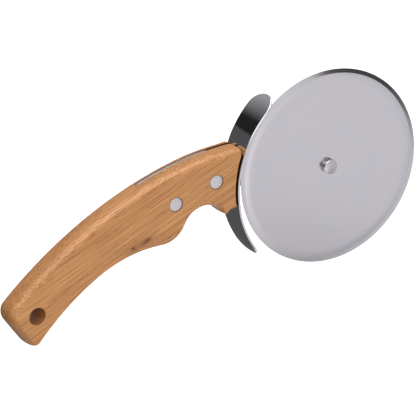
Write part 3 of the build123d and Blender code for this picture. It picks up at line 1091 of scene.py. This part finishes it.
light = add(tree, "ShaderNodeMix", tent, data_type="RGBA").outputs[2]

# %% [markdown]
# The camera sees the flat disc mirror one direction of the sky. The bevel is
# tilted, so it mirrors a ring about that direction, and each place on the rim
# has its own place on the ring. A few panels on the ring give the bevel its
# light and dark parts. They are plain greys too, given by the angle of the rim
# that they light.

# %% Panels for the bevel
mirrored = Vector((0.516, -0.309, 0.799)).normalized()
ring_inner, ring_outer = 29, 34
rim_panels = (
    # degrees on the rim, grey level
    (0, 0.7), (40, 0.05), (98, 0.05), (102, 0.75), (220, 0.75), (265, 0.45), (315, 0.7),
)
bevel_tilt = atan((wheel_half - roll_drop - edge_half) / bevel_width)
to_camera = Vector((-mirrored.x, -mirrored.y, mirrored.z))
first = Vector((mirrored.z, 0, -mirrored.x)).normalized()
second = mirrored.cross(first)


def round_mirrored(rim_angle):
    """Share of a turn about the mirrored direction at which the bevel's mirror image lies: r = 2 (t n) n - t."""
    normal = Vector((sin(bevel_tilt) * cos(rim_angle), sin(bevel_tilt) * sin(rim_angle), cos(bevel_tilt)))
    image = 2 * to_camera.dot(normal) * normal - to_camera
    return (atan2(image.dot(second), image.dot(first)) / tau) % 1.0


over = add(tree, "ShaderNodeVectorMath", {0: direction, 1: second}, operation="DOT_PRODUCT").outputs["Value"]
beside = add(tree, "ShaderNodeVectorMath", {0: direction, 1: first}, operation="DOT_PRODUCT").outputs["Value"]
round_turn = add(tree, "ShaderNodeMath", {0: over, 1: beside}, operation="ARCTAN2").outputs[0]
round_turn = add(tree, "ShaderNodeMath", {0: round_turn, 1: 1 / tau, 2: 1.0}, operation="MULTIPLY_ADD").outputs[0]
round_turn = add(tree, "ShaderNodeMath", {0: round_turn}, operation="FRACT").outputs[0]
rim_ring = add(tree, "ShaderNodeValToRGB", {"Fac": round_turn})
rim_ring.color_ramp.elements[0].color = rim_ring.color_ramp.elements[1].color = grey(rim_panels[0][1])
for degrees, level in rim_panels[1:]:
    rim_ring.color_ramp.elements.new(round_mirrored(radians(degrees))).color = grey(level)
light = with_card(light, mirrored, ring_inner, ring_outer, rim_ring.outputs["Color"])
print("panels for the guard", len(panels), "and for the bevel", len(rim_panels))

# %% [markdown]
# Last come the cards. The first is the bright one that gives the wood its sheen
# and the guard its white edges, and the next two stand low, for the guard's
# lower wing. Two dark ones draw the lines on the rivet's side, with a bright one
# between them. The last three lie where the flat disc mirrors the sky: the
# face's own grey, and in it a lighter and a darker spot.

# %% Cards
cards = (
    # towards, whole within and gone beyond so many degrees, linear colour
    ((-0.26, 0.96, -0.05), 16, 40, (6.2, 6.2, 6.2)),
    ((-0.163, -0.925, -0.342), 12, 26, (0.5, 0.48, 0.47)),
    ((0.50, -0.85, -0.17), 33, 43.5, (1.0, 0.96, 0.94)),
    ((-0.60, -0.02, 0.80), 16, 21, (0.03, 0.03, 0.035)),
    ((0.185, 0.571, 0.80), 13, 18, (0.03, 0.03, 0.035)),
    ((-0.30, 0.17, 0.94), 8, 11, (3.0, 3.0, 3.0)),
    ((0.516, -0.309, 0.799), 11, 13, (0.665, 0.655, 0.68)),
    ((0.406, -0.349, 0.855), 2, 6, (1.8, 1.7, 1.78)),
    ((0.516, -0.42, 0.755), 2, 8, (0.33, 0.31, 0.33)),
)
for towards, inner, outer, shade in cards:
    light = with_card(light, towards, inner, outer, (*shade, 1))
print("cards", len(cards))

# %% [markdown]
# The kind of ray picks the face of the sky. This is a trick that a real studio
# hasn't got, but it stands for what a retoucher does when the ground of a
# product picture is made plain white.

# %% Which ray sees what
ray = add(tree, "ShaderNodeLightPath").outputs
by_kind = {0: ray["Is Glossy Ray"], 6: matt_light, 7: light}
light = add(tree, "ShaderNodeMix", by_kind, data_type="RGBA").outputs[2]
by_kind = {0: ray["Is Camera Ray"], 6: light, 7: (1, 1, 1, 1)}
light = add(tree, "ShaderNodeMix", by_kind, data_type="RGBA").outputs[2]
shader = add(tree, "ShaderNodeBackground", {"Color": light, "Strength": 1.0})
add(tree, "ShaderNodeOutputWorld", {"Surface": shader.outputs["Background"]})

# %% [markdown]
# A small lamp stands close to the disc, where the flat face mirrors it. Because
# it is close, the top of the disc sees more of it than the foot does, and the
# face gets the gentle falling off that a far light can't give.

# %% Lamp over the disc
lamp_distance = 220 * mm
lamp_across, lamp_high = 164 * mm, 115 * mm
lamp_edge, lamp_side = 31 * mm, 10 * mm
lamp_radiance = 0.18

towards_foot = Vector((-0.23, -0.948, -0.217)).normalized()
side = towards_foot.cross(mirrored).normalized()
lamp_data = bpy.data.lights.new("disc_lamp", "AREA")
lamp_data.shape, lamp_data.size, lamp_data.size_y = "RECTANGLE", lamp_across, lamp_high
lamp_data.energy = lamp_radiance * pi * lamp_across * lamp_high
lamp = bpy.data.objects.new("disc_lamp", lamp_data)
bpy.context.scene.collection.objects.link(lamp)
lamp_place = Vector(axle) + mirrored * lamp_distance
lamp_place = lamp_place + towards_foot * (lamp_edge - lamp_high / 2) + side * lamp_side
lamp_turn = Matrix((side, towards_foot, side.cross(towards_foot))).transposed().to_4x4()
lamp.matrix_world = Matrix.Translation(lamp_place) @ lamp_turn
lamp.visible_camera = lamp.visible_diffuse = False
print("lamp faces", [round(c, 3) for c in lamp.matrix_world.to_3x3() @ Vector((0, 0, -1))])

# %% [markdown]
# ## Camera
#
# The rim of the wheel is a circle, so its ellipse in the photograph gives the
# tilt of the view, and its long side gives the scale. The handle gives the
# last turn, about the line of sight.

# %% Camera
view_azimuth, view_elevation, view_roll = 149.07, 53.0, 121.07
view_distance = 6.0
view_width = 203.43 * mm
right_offset, up_offset = -59.35 * mm, -20.51 * mm

a, e = radians(view_azimuth), radians(view_elevation)
toward = Vector((cos(a) * cos(e), sin(a) * cos(e), sin(e)))
level_right = Vector((0, 0, 1)).cross(toward).normalized()
level_up = toward.cross(level_right)
roll = radians(view_roll)
right = level_right * cos(roll) + level_up * sin(roll)
up = toward.cross(right)
aim = Vector(axle) + right * right_offset + up * up_offset
camera_data = bpy.data.cameras.new("camera")
camera = bpy.data.objects.new("camera", camera_data)
bpy.context.scene.collection.objects.link(camera)
camera_turn = Matrix((right, up, toward)).transposed().to_4x4()
camera.matrix_world = Matrix.Translation(aim + toward * view_distance) @ camera_turn
camera_data.sensor_width = 36.0
camera_data.lens = camera_data.sensor_width * view_distance / view_width
camera_data.clip_end = 100.0
bpy.context.scene.camera = camera
bpy.context.scene.view_settings.view_transform = "Standard"
print("right", [round(c, 3) for c in right], "up", [round(c, 3) for c in up])
